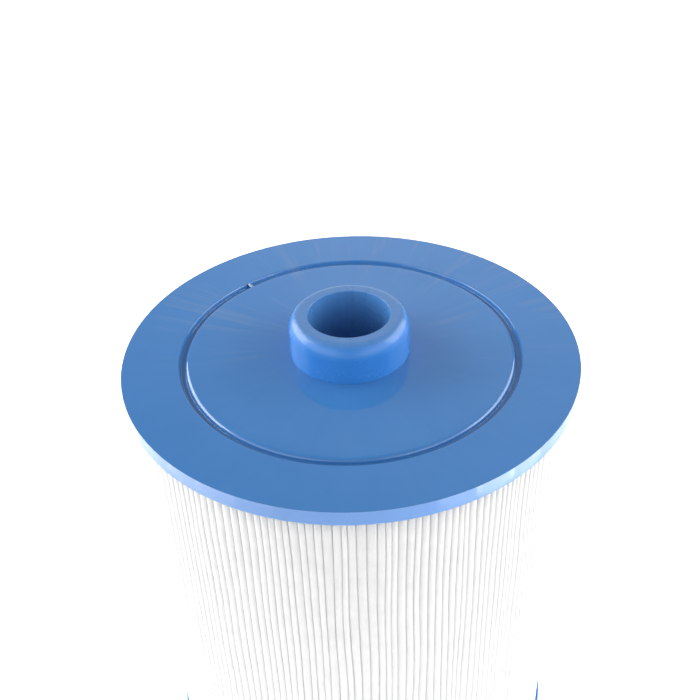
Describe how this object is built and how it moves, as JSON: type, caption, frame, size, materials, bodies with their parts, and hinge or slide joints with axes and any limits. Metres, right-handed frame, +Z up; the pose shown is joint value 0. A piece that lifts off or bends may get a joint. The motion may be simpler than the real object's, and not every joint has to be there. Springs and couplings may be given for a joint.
{
  "type": "pleated pool and spa filter cartridge",
  "caption": "Round pleated filter cartridge: white pleated cloth round a windowed core, potted in blue end caps, with an open collar on top and a closed base.",
  "frame": {"origin": "centre of the closed bottom face, on the axis, where the cartridge stands", "axes": "+Z up along the cartridge's axis, towards the open collar; -Y is the front"},
  "size_m": [0.216, 0.216, 0.2715],
  "materials": {
    "cap_urethane": "cast urethane, glossy, light blue",
    "hub_plastic": "moulded plastic, satin gloss, the caps' blue",
    "media_cloth": "white spunbonded polyester cloth, matt",
    "hot_glue": "hot-melt glue, satin, slightly yellow",
    "core_plastic": "moulded white plastic, satin"
  },
  "bodies": {
    "root": {"top_end_cap": "cap_urethane", "hub_collar": "hub_plastic", "pleated_media": "media_cloth", "seam_bead": "hot_glue", "core_section_lower": "core_plastic", "core_section_upper": "core_plastic", "core_coupler": "core_plastic", "core_plug": "core_plastic", "bottom_end_cap": "cap_urethane"}
  },
  "joints": []
}
